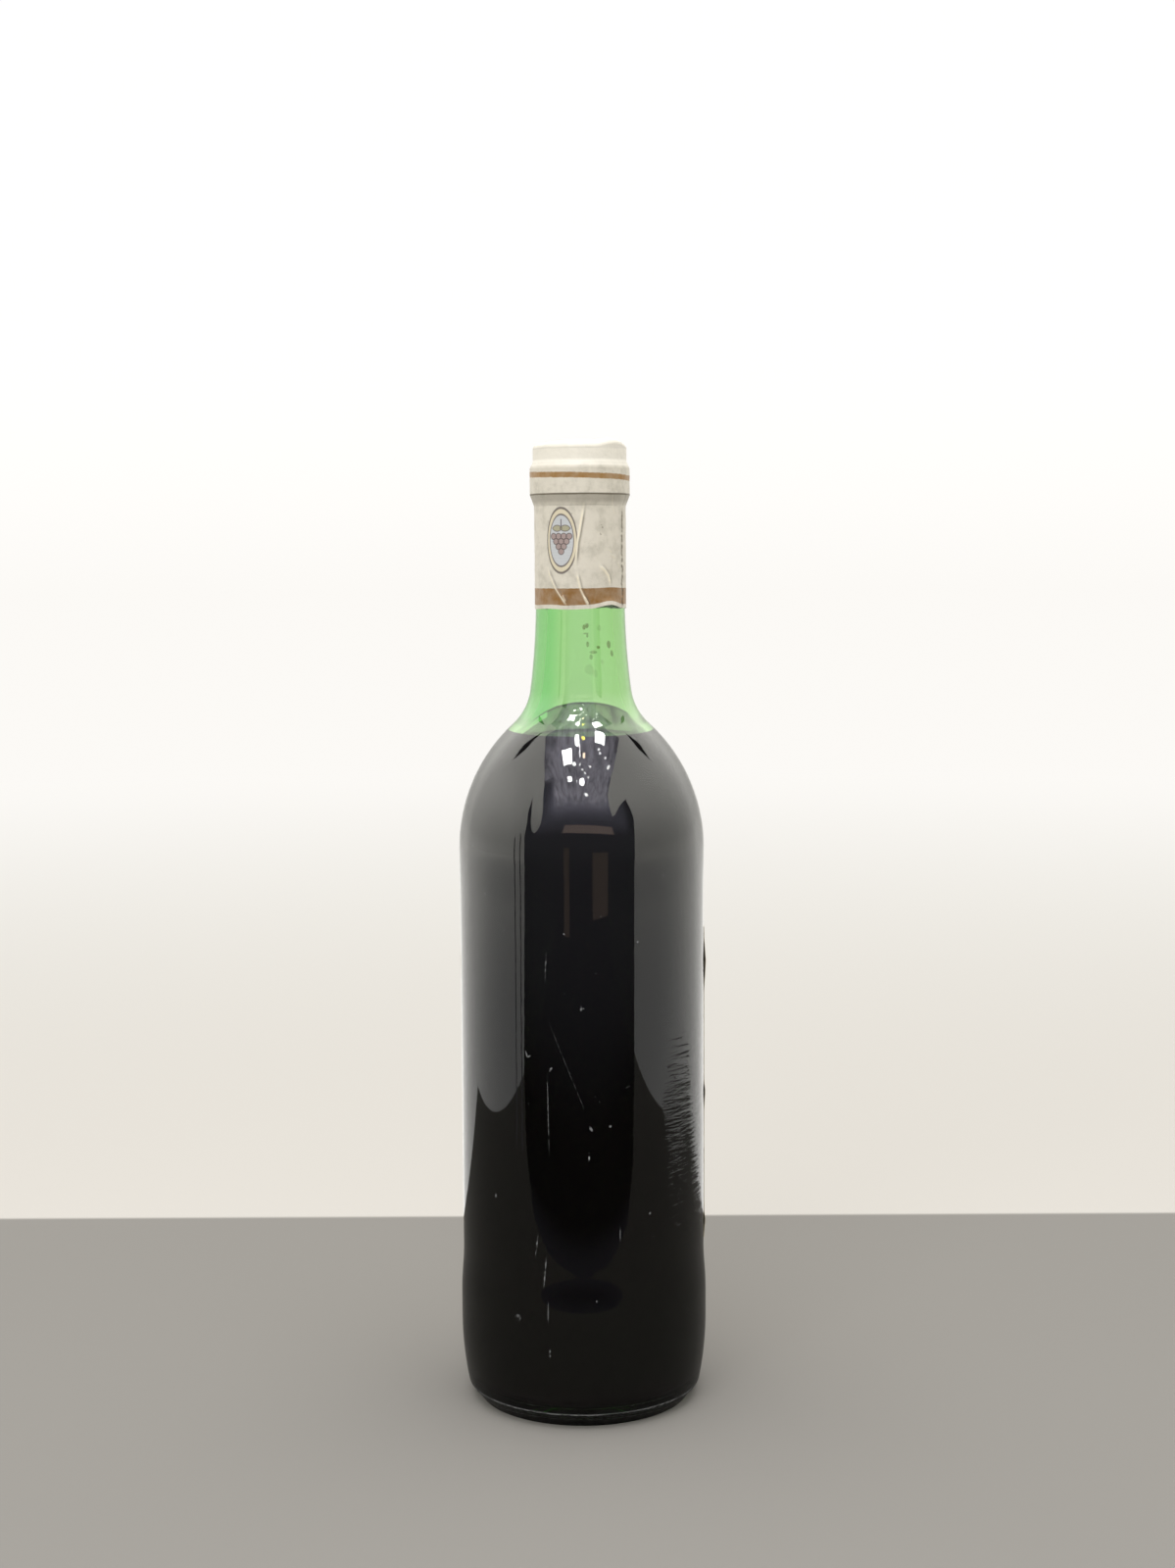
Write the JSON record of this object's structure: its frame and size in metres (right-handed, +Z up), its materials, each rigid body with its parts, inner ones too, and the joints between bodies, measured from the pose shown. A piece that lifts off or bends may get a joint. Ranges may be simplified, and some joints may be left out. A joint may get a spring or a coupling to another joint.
{
  "type": "wine bottle",
  "caption": "Sealed claret-shape wine bottle: clear green glass with punt and finish, dark red wine to the shoulder, cream foil capsule over the neck, plain paper label on the far side.",
  "frame": {"origin": "centre of the bearing ring, on the plane that the bottle stands on", "axes": "+Z up along the bottle's axis, -Y the side without a label, +X to the right when the bare side is seen"},
  "size_m": [0.076, 0.076, 0.2947],
  "materials": {
    "green_glass": "clear green bottle glass, glossy, with faint mould ripple and scuffs",
    "red_wine": "nearly black red liquid, wet gloss",
    "cream_foil": "matt cream lacquer on thin metal foil, with gold-brown bands, creased",
    "label_paper": "uncoated cream paper with a plain gold-brown border"
  },
  "bodies": {
    "root": {"bottle": "green_glass", "wine": "red_wine", "capsule": "cream_foil", "label": "label_paper"}
  },
  "joints": []
}
